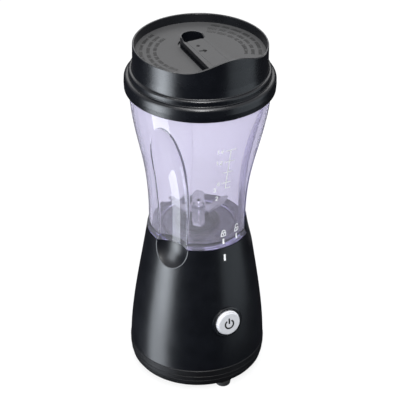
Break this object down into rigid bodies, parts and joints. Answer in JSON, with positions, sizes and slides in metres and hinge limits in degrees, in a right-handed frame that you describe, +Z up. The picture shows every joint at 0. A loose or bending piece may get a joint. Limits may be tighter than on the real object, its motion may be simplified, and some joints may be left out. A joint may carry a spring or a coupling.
{
  "type": "countertop blender",
  "caption": "Personal blender: bell-shaped motor base with push button, clear hourglass jar that twists on, blade assembly and travel lid with sliding drinking closure.",
  "frame": {"origin": "on the table plane under the feet, on the jar and motor axis", "axes": "+Z up along the motor axis; -Y is the front, the side with the button and the drinking lip"},
  "size_m": [0.109, 0.109, 0.2807],
  "materials": {
    "base_plastic": "satin gloss",
    "cover_plastic": "satin gloss",
    "foot_rubber": "matte",
    "screw_steel": "zinc plated",
    "gland_rubber": "matte",
    "bezel_plastic": "gloss",
    "spring_steel": "drawn wire",
    "inner_plastic": "moulded",
    "terminal_brass": "stamped",
    "lamination_steel": "stamped stack",
    "copper_wire": "enamelled copper winding",
    "bracket_aluminium": "die cast",
    "bearing_bronze": "sintered bronze",
    "carbon": "pressed carbon",
    "wire_sleeve": "insulated lead",
    "inner_rubber": "soft",
    "button_silver": "silver paint, satin",
    "plunger_plastic": "moulded",
    "shaft_steel": "ground",
    "commutator_copper": "turned copper",
    "coupling_plastic": "moulded nylon",
    "jar_clear": "clear plastic with a lavender tint",
    "hub_plastic": "moulded",
    "blade_steel": "ground stainless",
    "lid_plastic": "satin gloss",
    "gasket_silicone": "soft",
    "slider_plastic": "satin"
  },
  "bodies": {
    "base": {"base_housing": "base_plastic", "bottom_cover": "cover_plastic", "feet": "foot_rubber", "cover_screws": "screw_steel", "cord_gland": "gland_rubber", "button_bezel": "bezel_plastic", "button_spring": "spring_steel", "switch_bracket": "inner_plastic", "switch_screws": "screw_steel", "switch_body": "inner_plastic", "switch_terminals": "terminal_brass", "stator_core": "lamination_steel", "field_coils": "copper_wire", "upper_bracket": "bracket_aluminium", "lower_bracket": "bracket_aluminium", "bracket_spacers": "screw_steel", "motor_bolts": "screw_steel", "upper_bearing": "bearing_bronze", "lower_bearing": "bearing_bronze", "brush_holders": "inner_plastic", "carbon_brushes": "carbon", "brush_springs": "spring_steel", "brush_caps": "terminal_brass", "lead_wires": "wire_sleeve", "motor_grommets": "inner_rubber", "mount_screws": "screw_steel", "drip_seal": "inner_rubber"},
    "button": {"power_button": "button_silver", "switch_plunger": "plunger_plastic"},
    "rotor": {"motor_shaft": "shaft_steel", "armature_core": "lamination_steel", "armature_windings": "copper_wire", "commutator": "commutator_copper", "cooling_fan": "inner_plastic", "drive_coupling": "coupling_plastic"},
    "jar_seat": {"jar_seat_ring": "inner_rubber"},
    "jar": {"jar": "jar_clear", "hub_housing": "hub_plastic", "hub_gasket": "inner_rubber", "hub_nut": "hub_plastic", "hub_bushes": "bearing_bronze", "blade_seal": "inner_rubber"},
    "blades": {"blade_shaft": "shaft_steel", "lower_blade": "blade_steel", "upper_blade": "blade_steel", "blade_washer": "shaft_steel", "blade_nut": "shaft_steel", "driven_coupling": "coupling_plastic"},
    "lid": {"lid": "lid_plastic", "lid_gasket": "gasket_silicone"},
    "slider": {"lid_slider": "slider_plastic"}
  },
  "joints": [
    {"name": "button_press", "type": "slide", "parent": "base", "child": "button", "axis": [0, 0.9925, -0.1219], "range_m": [0, 0.002], "stiffness_N_per_m": 800, "springref_m": -0.001, "deforming": ["button_spring"]},
    {"name": "motor_spin", "type": "hinge", "parent": "base", "child": "rotor", "pos_m": [0, 0, 0.05], "axis": [0, 0, 1], "continuous": true},
    {"name": "jar_twist", "type": "hinge", "parent": "base", "child": "jar_seat", "pos_m": [0, 0, 0.1], "axis": [0, 0, 1], "range_deg": [-19, 0]},
    {"name": "jar_lift", "type": "slide", "parent": "jar_seat", "child": "jar", "axis": [0, 0, 1], "range_m": [0, 0.05]},
    {"name": "blade_spin", "type": "hinge", "parent": "jar", "child": "blades", "pos_m": [0, 0, 0.13], "axis": [0, 0, 1], "continuous": true},
    {"name": "lid_lift", "type": "slide", "parent": "jar", "child": "lid", "axis": [0, 0, 1], "range_m": [0, 0.035]},
    {"name": "lid_slide", "type": "slide", "parent": "lid", "child": "slider", "axis": [0, 1, 0], "range_m": [0, 0.0085]}
  ],
  "couplings": [
    {"joint": "blade_spin", "follows": "motor_spin", "ratio": 1}
  ]
}
